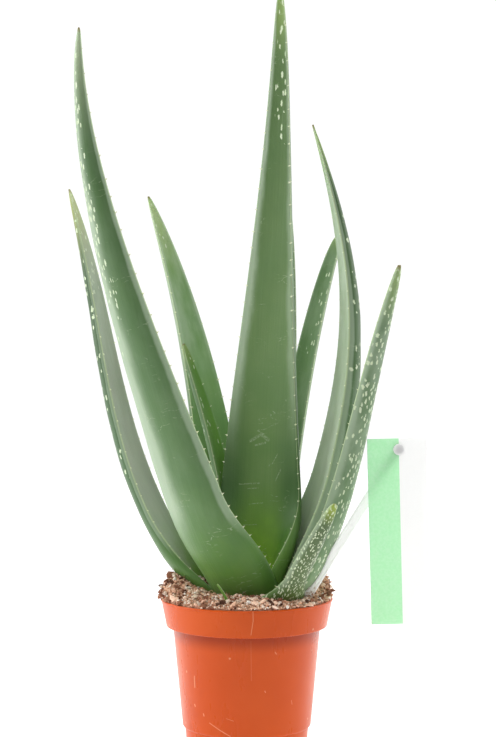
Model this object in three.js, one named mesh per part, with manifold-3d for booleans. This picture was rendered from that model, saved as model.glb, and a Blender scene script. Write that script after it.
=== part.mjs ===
// A potted aloe: a rosette of fleshy, toothed leaves rooted in the soil of a round
// plastic nursery pot, with a bare plant label on a stake.
// Millimetres, +Z up. Origin: centre of the pot's underside. The front faces -Y.

import * as THREE from 'three';
import { mergeVertices } from 'three/addons/utils/BufferGeometryUtils.js';
import Module from 'manifold-3d';

const wasm = await Module();
wasm.setup();

// ---------------------------------------------------------------- driving dimensions

const GAP = 0.35; // air between neighbouring pieces
const LEAF_GAP = 0.5; // air round a leaf where another one clasps it
const ROUND_SEGMENTS = 40; // facets round the pot and the soil

const POT = {
  height: 110,
  rimRadius: 61, // outside, at the top
  rimFootRadius: 57, // outside, at the rim's lower edge
  rimDepth: 19.5,
  shoulderRadius: 52.3, // body, just under the rim
  bodyFootRadius: 45.5,
  footHeight: 20, // the body steps in to the foot here
  footStep: 1.7,
  baseRadius: 42.1,
  wall: 1.7,
  floorThickness: 2,
  channelRise: 2.5, // raised ring of the underside, with the drain holes
  channelInner: 14,
  channelOuter: 34,
  channelSlope: 1, // how far the channel's walls lean
  drainHoles: 6,
  drainRadius: 4,
  drainFacets: 10,
  footStepRise: 1.5, // height of the sloping step above the foot
  lipHeight: 1.2, // the rim's outer edge is bevelled
  lipBevel: 0.2,
};

const SOIL = {
  level: 112, // at the front, near the rim
  crownRise: 3, // general rise towards the plant
  riseRadius: 36, // where the rise ends
  roughness: 0.7,
  rings: 8, // rings of facets from the centre to the rim
  crumbs: 60,
  crumbSize: [1.6, 3.4], // smallest and largest half length
  crumbFlatness: [0.55, 0.45], // least breadth and least height, as shares of its length
  crumbVariety: 0.35,
  crumbLift: 0.15, // how much of a crumb's half length its middle stands above the surface
  crumbMargin: 6, // from the rim
  fit: 0.45, // air between the soil and the pot's wall
  seed: 7,
};

// Heaps pushed up against the rim: x, y, height and spread.
const HEAPS = [
  { x: -45, y: 6, height: 12, spread: 17 },
  { x: 52, y: 10, height: 9, spread: 14 },
  { x: 10, y: 44, height: 4, spread: 22 },
];

const CROWN = { x: 7.1, y: 0 }; // where the rosette stands in the pot

// The short core that the leaves clasp, rounded at both ends.
const STEM = { radius: 12.2, foot: 58, shoulder: 112, top: 124, footBevel: 3, footRound: 8,
  shoulderRound: 6, crownRadius: 4.2, crownRound: 2, segments: 16 };

// What all the leaves share. Shares are of the half width, along the leaf they run from 0 to 1.
const BLADE = {
  facet: 20, // length of a facet along a leaf
  leastFacets: 8,
  sides: 12, // facets round a leaf
  bluntness: 0.36, // how round the tip is
  hollow: 0.06, // how much the inner face sinks, a share
  roundness: 0.9, // how full the outer face is
  leastHalf: 0.7,
  leastThickness: 1.2,
  tipThickening: 0.2, // a leaf grows rounder towards its tip
  sheath: 0.4, // the foot's thickness, a share of the blade's
  sheathEnd: 0.16, // where the foot has thickened to the blade
  turnEnd: 0.3, // where the roll of the face is complete
};
const HOLE = { grow: 0.5, sides: 12, steps: 4 }; // the plain hole a leaf stands in
const CROWN_HOLE = { radius: 25, bottom: 99, facets: 20 }; // the plain hole the feet share
const TOOTH = {
  height: 2.1,
  root: 2.4, // how deep it is sunk in the margin
  deepest: 0.7, // its root is never deeper than this share of the half width
  radius: 1.5,
  flatness: 0.7,
  spacing: 21,
  lean: 0.45, // towards the leaf's tip
  sides: 3,
  lowest: 122, // no teeth below this height
  last: 0.985, // nor beyond this share of the leaf
  smallest: 0.55, // scale of a tooth on the thinnest blade
  fullHalf: 9, // half width from which teeth have their full size
};

// Each leaf grows in an upright plane at `azimuth` degrees (0 = +X, 90 = away from the
// front). `path` holds the four control points [distance from the crown, height] of its
// cubic spine. `width` is the blade's width, `taper` how early it narrows, `foot` how much
// wider its clasping base is, `channel` the half angle of its trough, `bow` and `sway` its
// sideways bend, `turn` the roll of its face. Listed in the order in which they make room:
// the outer and the thin leaves keep their whole foot, and the thick inner ones clasp round it.
const LEAVES = [
  { name: 'leaf_spotted', azimuth: -57, path: [[30, 104], [49, 132], [78, 165], [95, 186]],
    width: 19, taper: 0.4, foot: 2.4, footEnd: 0.3, channel: 12, turn: 2 },
  { name: 'leaf_low_left', azimuth: 162, path: [[28, 104], [112, 190], [99.5, 290], [143, 402]],
    width: 33, taper: 0.55, foot: 1.6, turn: 13, bow: 7 },
  { name: 'leaf_low_right', azimuth: -38, path: [[27, 104], [68, 170], [70, 225], [121.7, 346]],
    width: 26, taper: 0.42, foot: 1.5, bow: 12 },
  { name: 'leaf_hidden', azimuth: 70, path: [[25, 104], [62, 180], [88, 300], [68, 401]],
    width: 26, taper: 0.6, foot: 1.2, bow: 3 },
  { name: 'leaf_back_right', azimuth: 47, path: [[18, 106], [39, 170], [88, 340], [90, 369]],
    width: 23, taper: 0.5, foot: 1.1, turn: -16, bow: 16.5 },
  { name: 'leaf_young', azimuth: 150, path: [[19, 106], [29, 170], [47, 230], [61, 290]],
    width: 20, taper: 0.4, channel: 30, turn: 8, bow: -14, thick: 0.24 },
  { name: 'leaf_left', azimuth: 209, path: [[22, 106], [73, 230], [150, 380], [136, 504]],
    width: 74, taper: 1.03, foot: 1.17, footEnd: 0.34, turn: -9, bow: 16, thick: 0.2, claspEnd: 0.22 },
  { name: 'leaf_right', azimuth: 18, path: [[22, 106], [70, 248], [88, 308], [41, 446]],
    width: 45, taper: 0.85, foot: 1.2, turn: -6, bow: -2 },
  { name: 'leaf_back_left', azimuth: 138, path: [[22, 106], [50, 170], [68, 300], [109, 397]],
    width: 39, taper: 0.71, foot: 1.2, turn: 20, bow: -14 },
  { name: 'leaf_tall', azimuth: 70, path: [[11, 108], [8, 220], [60, 390], [41, 546]],
    width: 83, taper: 1.14, turn: 6, sway: -2.2, bow: 2, thick: 0.2, claspEnd: 0.22, clasp: 140 },
];

// A pup just breaking the surface beside the crown.
const SPROUT = { name: 'sprout', root: { x: -9.9, y: -40 }, azimuth: 195,
  path: [[1, 104], [1, 112], [4, 118], [11, 127]],
  width: 4.4, taper: 0.5, thick: 0.5, toothless: true };

const LEAF_DEFAULTS = { root: CROWN, taper: 0.8, foot: 1, footEnd: 0.2, channel: 14,
  claspEnd: 0.25, clasp: 130, thick: 0.3, turn: 0, bow: 0, sway: 0, toothless: false };

const LABEL = {
  stakeWidth: 6.5,
  stakeThickness: 1.2,
  stakeFoot: [41.8, -24, 114], // where it enters the soil
  stakeHead: [104.4, -40, 218.7], // behind the card's hole
  buried: 26,
  pointLength: 12,
  pointWidth: 1,
  arcFacets: 8,
  pegRadius: 2.6,
  headRadius: 3.9,
  headThickness: 1.2,
  holeRadius: 3.2,
  cardWidth: 41,
  cardHeight: 128,
  cardThickness: 0.8,
  holeFromLeft: 21.6,
  holeFromTop: 7.8,
  cardTilt: 1.5, // degrees, clockwise from the front
};

// ------------------------------------------------------------------- colours

const plastic = (color) => new THREE.MeshStandardMaterial({ color, roughness: 0.55 });
const living = (color) => new THREE.MeshStandardMaterial({ color, roughness: 0.5 });
const MATERIALS = {
  pot: plastic(0xc8562a),
  soil: new THREE.MeshStandardMaterial({ color: 0x6b4432, roughness: 0.95 }),
  stem: living(0xb9c47a),
  leaf: living(0x6f9466),
  sprout: living(0x6f9c34),
  stake: plastic(0xf2f2f2),
  card: plastic(0xf4f7f2),
};

// ------------------------------------------------------------- solids and meshes

const MERGE_DISTANCE = 1e-4;

function toSolid(geometry) {
  const bare = geometry.clone();
  bare.deleteAttribute('normal');
  bare.deleteAttribute('uv');
  const merged = mergeVertices(bare, MERGE_DISTANCE);
  return new wasm.Manifold(new wasm.Mesh({
    numProp: 3,
    vertProperties: new Float32Array(merged.attributes.position.array),
    triVerts: new Uint32Array(merged.index.array),
  }));
}

function largestBody(solid) {
  return solid.decompose().reduce((best, body) => (body.volume() > best.volume() ? body : best));
}

function toGeometry(solid) {
  const mesh = solid.getMesh();
  const geometry = new THREE.BufferGeometry();
  geometry.setAttribute('position', new THREE.BufferAttribute(new Float32Array(mesh.vertProperties), 3));
  geometry.setIndex(new THREE.BufferAttribute(new Uint32Array(mesh.triVerts), 1));
  geometry.computeVertexNormals();
  return geometry;
}

function namedMesh(name, solid, material) {
  const mesh = new THREE.Mesh(toGeometry(solid), material);
  mesh.name = name;
  return mesh;
}

// A repeatable stream of numbers in [0, 1).
function seededRandom(seed) {
  let state = seed >>> 0;
  return () => {
    state = (state + 0x6d2b79f5) >>> 0;
    let mixed = Math.imul(state ^ (state >>> 15), state | 1);
    mixed ^= mixed + Math.imul(mixed ^ (mixed >>> 7), mixed | 61);
    return ((mixed ^ (mixed >>> 14)) >>> 0) / 4294967296;
  };
}

const smoothRise = (from, to, x) => THREE.MathUtils.smoothstep(x, from, to);

// A closed profile of [radius, height] points turned about +Z.
function turned(profile, segments = ROUND_SEGMENTS) {
  const points = profile.map(([radius, height]) => new THREE.Vector2(radius, height));
  const geometry = new THREE.LatheGeometry(points, segments);
  return geometry.rotateX(Math.PI / 2);
}

// ------------------------------------------------------------------------ pot

function potProfile() {
  const p = POT;
  const rimFoot = p.height - p.rimDepth;
  return [
    [0, 0],
    [p.channelInner, 0],
    [p.channelInner + p.channelSlope, p.channelRise],
    [p.channelOuter - p.channelSlope, p.channelRise],
    [p.channelOuter, 0],
    [p.baseRadius, 0],
    [p.bodyFootRadius - p.footStep, p.footHeight - p.footStepRise],
    [p.bodyFootRadius, p.footHeight],
    [p.shoulderRadius, rimFoot],
    [p.rimFootRadius, rimFoot],
    [p.rimRadius, p.height - p.lipHeight],
    [p.rimRadius - p.lipBevel, p.height],
    [p.rimRadius - p.wall, p.height],
    ...potBore(),
  ];
}

// The inside of the pot, from the rim's lower edge down to the floor's centre.
function potBore() {
  const p = POT;
  const ledge = p.height - p.rimDepth + p.wall;
  const floor = p.channelRise + p.floorThickness;
  const halfStep = p.footStepRise / 2;
  const slope = (p.rimRadius - p.rimFootRadius) / p.rimDepth; // of the rim's wall
  return [
    [p.rimFootRadius + slope * p.wall - p.wall, ledge],
    [p.shoulderRadius - p.wall, ledge],
    [p.bodyFootRadius - p.wall, p.footHeight + halfStep],
    [p.bodyFootRadius - p.footStep - p.wall, p.footHeight - halfStep],
    [p.baseRadius - p.wall, floor],
    [0, floor],
  ];
}

function makePot() {
  let solid = toSolid(turned(potProfile()));
  const middle = (POT.channelInner + POT.channelOuter) / 2;
  const depth = 4 * (POT.channelRise + POT.floorThickness);
  for (let i = 0; i < POT.drainHoles; i += 1) {
    const angle = (i * 2 * Math.PI) / POT.drainHoles;
    const drill = new THREE.CylinderGeometry(POT.drainRadius, POT.drainRadius, depth, POT.drainFacets);
    drill.rotateX(Math.PI / 2);
    drill.translate(middle * Math.cos(angle), middle * Math.sin(angle), 0);
    solid = solid.subtract(toSolid(drill));
  }
  return solid;
}

// ---------------------------------------------------------------------- leaves

// A point of the leaf's spine, 0 at the crown and 1 at the tip.
function spinePoint(leaf, t) {
  const curve = new THREE.CubicBezierCurve(...leaf.path.map(([r, z]) => new THREE.Vector2(r, z)));
  const { x: out, y: height } = curve.getPoint(t);
  const azimuth = THREE.MathUtils.degToRad(leaf.azimuth);
  const side = leaf.sway * t * t + leaf.bow * Math.sin(Math.PI * t);
  return new THREE.Vector3(
    leaf.root.x + out * Math.cos(azimuth) - side * Math.sin(azimuth),
    leaf.root.y + out * Math.sin(azimuth) + side * Math.cos(azimuth),
    height,
  );
}

// Directions at a point of the spine: along it, towards the leaf's inner face, and across.
function spineFrame(leaf, t) {
  const step = 1e-3;
  const before = spinePoint(leaf, Math.max(0, t - step));
  const after = spinePoint(leaf, Math.min(1, t + step));
  const along = after.sub(before).normalize();
  const azimuth = THREE.MathUtils.degToRad(leaf.azimuth);
  const outward = new THREE.Vector3(Math.cos(azimuth), Math.sin(azimuth), 0);
  const inward = new THREE.Vector3(0, 0, along.dot(outward)).addScaledVector(outward, -along.z);
  inward.addScaledVector(along, -inward.dot(along)).normalize();
  const roll = THREE.MathUtils.degToRad(leaf.turn) * smoothRise(0, BLADE.turnEnd, t);
  inward.applyAxisAngle(along, -roll);
  const across = inward.clone().cross(along);
  return { along, inward, across };
}

// Half width, thickness and half angle of the trough at t.
function leafSection(leaf, t) {
  const rest = 1 - t;
  const narrowing = (rest ** (4 * leaf.taper) + (BLADE.bluntness ** 2 * rest) ** 2) ** 0.25;
  const blade = (leaf.width / 2) * narrowing;
  const widening = leaf.foot + (1 - leaf.foot) * smoothRise(0, leaf.footEnd, t);
  const half = Math.max(blade * widening, BLADE.leastHalf);
  const sheath = BLADE.sheath + (1 - BLADE.sheath) * smoothRise(0, BLADE.sheathEnd, t);
  const fullness = leaf.thick + BLADE.tipThickening * t;
  const thickness = Math.max(2 * blade * fullness * sheath, BLADE.leastThickness);
  const [footDistance] = leaf.path[0];
  const clasp = THREE.MathUtils.degToRad(leaf.clasp);
  const footWrap = Math.min((leaf.width / 2) * leaf.foot / footDistance, clasp);
  const channel = THREE.MathUtils.degToRad(leaf.channel);
  const wrap = channel + (footWrap - channel) * (1 - smoothRise(0, leaf.claspEnd, t));
  return { half, thickness, wrap };
}

// A point of the leaf's skin. `turn` runs round the section from one margin (0) over the
// inner face to the other margin (half a turn) and back under the outer face. `grow` moves
// the skin outwards all round.
function leafPoint(leaf, t, turn, grow = 0) {
  const { half, thickness, wrap } = leafSection(leaf, t);
  const { inward, across } = spineFrame(leaf, t);
  const radius = half / wrap;
  const sine = Math.sin(turn);
  const depth = sine >= 0
    ? -BLADE.hollow * half * sine - grow * Math.sqrt(sine)
    : thickness * (-sine) ** BLADE.roundness + grow * Math.sqrt(-sine);
  const angle = Math.cos(turn) * wrap * ((half + grow) / half);
  const reach = radius + depth;
  return spinePoint(leaf, t)
    .addScaledVector(across, reach * Math.sin(angle))
    .addScaledVector(inward, radius - reach * Math.cos(angle));
}

// The leaf's skin as rings of facets from its foot up to `end`, closed at both ends.
function leafGeometry(leaf, { grow = 0, sides = BLADE.sides, steps = leafFacets(leaf), end = 1 } = {}) {
  const points = [];
  const index = [];
  for (let i = 0; i <= steps; i += 1) {
    for (let k = 0; k < sides; k += 1) {
      points.push(leafPoint(leaf, (end * i) / steps, (2 * Math.PI * k) / sides, grow));
    }
  }
  for (let i = 0; i < steps; i += 1) {
    for (let k = 0; k < sides; k += 1) {
      const here = i * sides + k;
      const next = i * sides + ((k + 1) % sides);
      index.push(here, next, next + sides, here, next + sides, here + sides);
    }
  }
  index.push(...sectionFacets(0, sides).reverse(), ...sectionFacets(steps * sides, sides));
  return new THREE.BufferGeometry().setFromPoints(points).setIndex(index);
}

// Fills one ring's outline with strips from the inner face to the outer face.
function sectionFacets(first, sides) {
  const facets = [];
  for (let k = 0; k < sides / 2; k += 1) {
    const inner = first + k;
    const innerNext = inner + 1;
    const outer = first + ((sides - k) % sides);
    const outerNext = first + sides - k - 1;
    if (innerNext !== outerNext) {
      facets.push(inner, innerNext, outerNext);
    }
    if (inner !== outer) {
      facets.push(inner, outerNext, outer);
    }
  }
  return facets;
}

function leafLength(leaf) {
  let length = 0;
  const pieces = 40;
  for (let i = 0; i < pieces; i += 1) {
    length += spinePoint(leaf, i / pieces).distanceTo(spinePoint(leaf, (i + 1) / pieces));
  }
  return length;
}

const leafFacets = (leaf) => Math.max(BLADE.leastFacets, Math.round(leafLength(leaf) / BLADE.facet));

// One tooth: a small cone whose root is sunk in the margin.
function marginTooth(leaf, t, side) {
  const { half, wrap } = leafSection(leaf, t);
  const { along, across, inward } = spineFrame(leaf, t);
  const outward = across.multiplyScalar(side * Math.cos(wrap)).addScaledVector(inward, Math.sin(wrap));
  const pointing = outward.addScaledVector(along, TOOTH.lean).normalize();
  const broad = along.addScaledVector(pointing, -along.dot(pointing)).normalize();
  const root = Math.min(TOOTH.root, TOOTH.deepest * half);
  const scale = Math.min(1, TOOTH.smallest + ((1 - TOOTH.smallest) * half) / TOOTH.fullHalf);
  const height = TOOTH.height * scale;
  const cone = new THREE.ConeGeometry(TOOTH.radius * scale, height + root, TOOTH.sides);
  cone.translate(0, (height - root) / 2, 0);
  cone.scale(1, 1, TOOTH.flatness);
  const seat = leafPoint(leaf, t, side > 0 ? 0 : Math.PI);
  const flatways = broad.clone().cross(pointing);
  return cone.applyMatrix4(new THREE.Matrix4().makeBasis(broad, pointing, flatways).setPosition(seat));
}

// Teeth along both margins up to the tip, a little out of step with each other.
function leafTeeth(leaf, random) {
  const length = leafLength(leaf);
  const count = Math.round(length / TOOTH.spacing);
  const teeth = [];
  for (const side of [1, -1]) {
    for (let i = 1; i < count; i += 1) {
      const shift = 0.5 * (random() - 0.5) + (side > 0 ? 0 : 0.5);
      const t = (i + shift) / count;
      if (spinePoint(leaf, t).z > TOOTH.lowest && t < TOOTH.last) {
        teeth.push(toSolid(marginTooth(leaf, t, side)));
      }
    }
  }
  return teeth;
}

const LEAST_VOLUME = 1e-6; // cubic mm; less than this is no contact
const touches = (a, b) => a.intersect(b).volume() > LEAST_VOLUME;

// Joins a leaf's teeth to its blade, leaving out any that would touch another leaf.
function toothedLeaf(leaf, blade, grownOthers, random) {
  if (leaf.toothless) {
    return blade;
  }
  const isClear = (tooth) => !grownOthers.some((other) => touches(tooth, other));
  return leafTeeth(leaf, random).filter(isClear).reduce((whole, tooth) => whole.add(tooth), blade);
}

// ------------------------------------------------------------------ stem and soil

function stemProfile(grow = 0) {
  const s = STEM;
  const radius = s.radius + grow;
  return [
    [0, s.foot - grow],
    [radius - s.footBevel, s.foot - grow],
    [radius, s.foot + s.footRound],
    [radius, s.shoulder],
    [radius - s.footBevel, s.shoulder + s.shoulderRound],
    [s.crownRadius + grow, s.top - s.crownRound + grow],
    [0, s.top + grow],
  ];
}

function stemGeometry(grow = 0) {
  return turned(stemProfile(grow), STEM.segments).translate(CROWN.x, CROWN.y, 0);
}

function soilHeight(x, y) {
  const rise = 1 - smoothRise(SOIL.riseRadius, POT.rimRadius - POT.wall, Math.hypot(x, y));
  let height = SOIL.level + SOIL.crownRise * rise;
  for (const heap of HEAPS) {
    const away = Math.hypot(x - heap.x, y - heap.y) / heap.spread;
    height += heap.height * Math.exp(-away * away);
  }
  return height;
}

function soilGeometry(random) {
  const { fit } = SOIL;
  const inside = potBore().reverse().map(([radius, height]) => [Math.max(0, radius - fit), height + fit]);
  const slope = (POT.rimRadius - POT.rimFootRadius) / POT.rimDepth;
  const edge = POT.rimRadius - POT.wall - fit - slope * fit;
  const surface = [];
  for (let i = SOIL.rings; i >= 0; i -= 1) {
    surface.push([edge * Math.sqrt(i / SOIL.rings), SOIL.level]);
  }
  const geometry = mergeVertices(bareLathe([...inside, ...surface]), MERGE_DISTANCE);
  const { position } = geometry.attributes;
  for (let i = 0; i < position.count; i += 1) {
    if (position.getZ(i) > SOIL.level - GAP) {
      const bump = SOIL.roughness * (2 * random() - 1);
      position.setZ(i, soilHeight(position.getX(i), position.getY(i)) + bump);
    }
  }
  return geometry;
}

function bareLathe(profile) {
  const geometry = turned(profile);
  geometry.deleteAttribute('normal');
  geometry.deleteAttribute('uv');
  return geometry;
}

// Bark chips and perlite grains, half sunk in the surface.
function soilCrumb(random) {
  const angle = 2 * Math.PI * random();
  const closest = 0.12; // none right at the crown
  const away = (POT.rimRadius - SOIL.crumbMargin) * Math.sqrt(closest + (1 - closest) * random());
  const x = away * Math.cos(angle);
  const y = away * Math.sin(angle);
  const [small, large] = SOIL.crumbSize;
  const size = small + (large - small) * random();
  const crumb = new THREE.OctahedronGeometry(size);
  const [breadth, height] = SOIL.crumbFlatness.map((least) => least + SOIL.crumbVariety * random());
  crumb.scale(1, breadth, height);
  crumb.rotateX(random() * 2);
  crumb.rotateZ(random() * 2 * Math.PI);
  return crumb.translate(x, y, soilHeight(x, y) + SOIL.crumbLift * size);
}

function leafHole(leaf) {
  return toSolid(leafGeometry(leaf, { ...HOLE, end: HOLE.steps / leafFacets(leaf) }));
}

function crownHole() {
  const { radius, bottom, facets } = CROWN_HOLE;
  const depth = 2 * (STEM.top - bottom);
  const hole = new THREE.CylinderGeometry(radius, radius, depth, facets);
  return toSolid(hole.rotateX(Math.PI / 2).translate(CROWN.x, CROWN.y, bottom + depth / 2));
}

function makeSoil() {
  const random = seededRandom(SOIL.seed);
  let solid = toSolid(soilGeometry(random));
  for (let i = 0; i < SOIL.crumbs; i += 1) {
    solid = solid.add(toSolid(soilCrumb(random)));
  }
  return solid;
}

// ----------------------------------------------------------------------- label

// The stake's own axes: up along it, its flat side to the front.
function stakeMatrix() {
  const foot = new THREE.Vector3(...LABEL.stakeFoot);
  const up = new THREE.Vector3(...LABEL.stakeHead).sub(foot).normalize();
  const right = new THREE.Vector3(0, -1, 0).cross(up).negate().normalize();
  const front = right.clone().cross(up).normalize();
  return new THREE.Matrix4().makeBasis(right, up, front).setPosition(foot);
}

function stakeBlade(grow = 0) {
  const half = LABEL.stakeWidth / 2 + grow;
  const length = new THREE.Vector3(...LABEL.stakeHead).distanceTo(new THREE.Vector3(...LABEL.stakeFoot));
  const shape = new THREE.Shape();
  shape.moveTo(-half, length);
  shape.lineTo(-half, LABEL.pointLength - LABEL.buried);
  shape.lineTo(-LABEL.pointWidth / 2 - grow, -LABEL.buried - grow);
  shape.lineTo(LABEL.pointWidth / 2 + grow, -LABEL.buried - grow);
  shape.lineTo(half, LABEL.pointLength - LABEL.buried);
  shape.lineTo(half, length);
  shape.absarc(0, length, half, 0, Math.PI, false);
  const depth = LABEL.stakeThickness + 2 * grow;
  const settings = { depth, bevelEnabled: false, curveSegments: LABEL.arcFacets };
  const blade = new THREE.ExtrudeGeometry(shape, settings);
  return blade.translate(0, 0, -depth / 2);
}

function pegCylinder(radius, from, to) {
  const peg = new THREE.CylinderGeometry(radius, radius, to - from, 2 * LABEL.arcFacets);
  const [x, y, z] = LABEL.stakeHead;
  return peg.translate(x, y - (from + to) / 2, z);
}

// The stake, with the headed peg that the card hangs from.
function makeStake() {
  const blade = stakeBlade().applyMatrix4(stakeMatrix());
  const neck = LABEL.stakeThickness / 2 + 3 * GAP + LABEL.cardThickness;
  const peg = pegCylinder(LABEL.pegRadius, 0, neck + LABEL.headThickness / 2);
  const head = pegCylinder(LABEL.headRadius, neck, neck + LABEL.headThickness);
  return toSolid(blade).add(toSolid(peg)).add(toSolid(head));
}

function makeCard() {
  const shape = new THREE.Shape();
  const left = -LABEL.holeFromLeft;
  const top = LABEL.holeFromTop;
  shape.moveTo(left, top);
  shape.lineTo(left, top - LABEL.cardHeight);
  shape.lineTo(left + LABEL.cardWidth, top - LABEL.cardHeight);
  shape.lineTo(left + LABEL.cardWidth, top);
  shape.closePath();
  const hole = new THREE.Path();
  hole.absarc(0, 0, LABEL.holeRadius, 0, 2 * Math.PI, true);
  shape.holes.push(hole);
  const settings = { depth: LABEL.cardThickness, bevelEnabled: false, curveSegments: LABEL.arcFacets };
  const card = new THREE.ExtrudeGeometry(shape, settings);
  card.rotateZ(THREE.MathUtils.degToRad(LABEL.cardTilt));
  card.rotateX(Math.PI / 2);
  const [x, y, z] = LABEL.stakeHead;
  const drop = LABEL.holeRadius - LABEL.pegRadius - GAP;
  return toSolid(card.translate(x, y - LABEL.stakeThickness / 2 - 1.5 * GAP, z - drop));
}

// -------------------------------------------------------------------- assembly

const plant = new THREE.Group();
const random = seededRandom(41);

const stem = toSolid(stemGeometry());
const leaves = [...LEAVES, SPROUT].map((leaf) => ({ ...LEAF_DEFAULTS, ...leaf }));
const grownLeaves = leaves.map((leaf) => toSolid(leafGeometry(leaf, { grow: LEAF_GAP })));
const grownStem = toSolid(stemGeometry(GAP));
const grownStake = toSolid(stakeBlade(GAP).applyMatrix4(stakeMatrix()));

plant.add(namedMesh('pot', makePot(), MATERIALS.pot));

leaves.forEach((leaf, index) => {
  // An inner leaf gives way to the leaves that clasp it from outside.
  const outer = [grownStem, grownStake, ...grownLeaves.slice(0, index)];
  const whole = toSolid(leafGeometry(leaf));
  const blade = largestBody(outer.reduce((rest, other) => rest.subtract(other), whole));
  const others = [grownStake, ...grownLeaves.filter((_, other) => other !== index)];
  const solid = toothedLeaf(leaf, blade, others, random);
  const material = leaf === leaves[leaves.length - 1] ? MATERIALS.sprout : MATERIALS.leaf;
  plant.add(namedMesh(leaf.name, solid, material));
});

let soil = makeSoil();
for (const rooted of [crownHole(), grownStem, grownStake, ...leaves.map(leafHole)]) {
  soil = soil.subtract(rooted);
}
plant.add(namedMesh('soil', largestBody(soil), MATERIALS.soil));
plant.add(namedMesh('stem', stem, MATERIALS.stem));
plant.add(namedMesh('label_stake', makeStake(), MATERIALS.stake));
plant.add(namedMesh('label_card', makeCard(), MATERIALS.card));

export default plant;
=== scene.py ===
"""The looks of a potted aloe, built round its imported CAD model.

Every leaf is grown again at a finer scale from the same spine and section as in the CAD, the
soil gets its crumbs, perlite and fibres, and the pot and the label their finish. Sizes in the
tables are in millimetres and are scaled by MM when a mesh is made.
"""

import math
import random
from types import SimpleNamespace as Values

import bmesh
import bpy
import numpy as np
from mathutils import Matrix, Vector
from mathutils.bvhtree import BVHTree
from mathutils.kdtree import KDTree


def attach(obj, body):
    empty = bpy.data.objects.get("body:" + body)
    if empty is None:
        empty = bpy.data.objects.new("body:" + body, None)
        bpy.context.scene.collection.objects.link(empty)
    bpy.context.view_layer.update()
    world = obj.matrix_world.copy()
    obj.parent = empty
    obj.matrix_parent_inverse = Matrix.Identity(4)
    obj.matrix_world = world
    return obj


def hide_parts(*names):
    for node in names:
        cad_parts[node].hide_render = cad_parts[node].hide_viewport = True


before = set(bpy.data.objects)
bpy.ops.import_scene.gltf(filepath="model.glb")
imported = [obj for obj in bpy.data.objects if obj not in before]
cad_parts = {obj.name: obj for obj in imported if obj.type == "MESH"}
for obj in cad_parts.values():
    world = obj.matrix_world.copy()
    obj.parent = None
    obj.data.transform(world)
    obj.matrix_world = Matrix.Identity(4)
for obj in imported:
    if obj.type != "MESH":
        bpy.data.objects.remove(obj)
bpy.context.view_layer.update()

MM = 0.001
TURN = 2 * math.pi

# ---- Camera and light

CAMERA = Values(place=(0.9, -1400, 330), pitch=-2.35, focal_px=1984, sensor=36)
IMAGE_SIZE = (496, 737)
# The room is bright behind the plant and darker towards the camera. The floor is painted light to
# match: paler towards the back, where it also glows.
FLOOR = Values(radius=2.2, fade=(-0.45, 0.02), front=(0.72, 0.72, 0.72), back=(0.93, 0.93, 0.93),
               glow=0.3)
ROOM = Values(fade=(-0.55, 0.4), front=0.25, back=1.05)
# Soft boxes: where each stands, how large it is and its power. All of them face the plant.
AIM = (0, 0, 0.26)
LIGHTS = {
    "box_left": ((-1.5, 0.1, 0.7), (1.2, 1.8), 19),
    "box_right": ((1.5, 0.35, 0.7), (1.2, 1.8), 14),
    "box_top": ((-0.1, 0.3, 1.8), (1.4, 1.4), 12),
    "box_front": ((-0.45, -1.15, 1.6), (1, 1), 10),
}

# ---- Sizes, in mm

GAP = 0.3
POT = Values(
    height=110, rim=61, rim_foot=57, rim_depth=19.5, shoulder=52.3, body_foot=45.5,
    foot_height=20, step=1.7, base=42.1, wall=1.7, floor=2, channel_rise=2.5, channel_inner=14,
    channel_outer=34, holes=6, hole_radius=4, lip=1.3, lip_proud=0.35, round=0.5, segments=180)
RIM_FOOT = POT.height - POT.rim_depth
RIM_SLOPE = (POT.rim - POT.rim_foot) / POT.rim_depth
INSIDE = POT.rim - POT.wall
INSIDE_FLOOR = POT.channel_rise + POT.floor
# Marks on the front of the pot: (x1, z1, x2, z2, width). The first two are a hairline crack in
# the rim, the third the faint seam of the mould, the others scratches.
POT_MARKS = (
    (4.3, 109.6, 4.4, 103, 0.32), (4.4, 103, 2.9, 93.2, 0.3), (2.9, 88, 3.2, 60, 0.1),
    (-36.4, 60.4, -36, 52, 0.35), (-36.2, 40, -35.8, 38.6, 0.5), (-30, 34.5, -29.6, 33, 0.5),
    (-25.7, 28.6, -18, 24, 0.4), (-18, 24, -11.4, 20.6, 0.4), (19.6, 79.5, 20.4, 78.2, 0.5),
    (12.5, 52.6, 12.9, 51.6, 0.45), (31, 44, 31.4, 41, 0.22), (-14, 33, -9, 31.5, 0.2),
)
SOIL = Values(level=112, rise=3, rise_radius=36, fit=0.45, edge_drop=1.4, edge_width=5,
              spill=2.3, rings=70, segments=200)
# The waves that roughen the soil: length and height.
SOIL_WAVES = ((9, 0.35), (6, 0.3), (4, 0.25), (2.6, 0.2), (1.8, 0.15))
# The soil's heaps: x, y, height and spread.
HEAPS = ((-47, 6, 14.5, 17), (54, 10, 13, 12.5), (10, 44, 4, 22))
# Where crumbs spill over the rim: the direction and how wide the spill is, in radians.
SPILLS = ((math.pi, 0.45), (0.2, 0.4))
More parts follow.
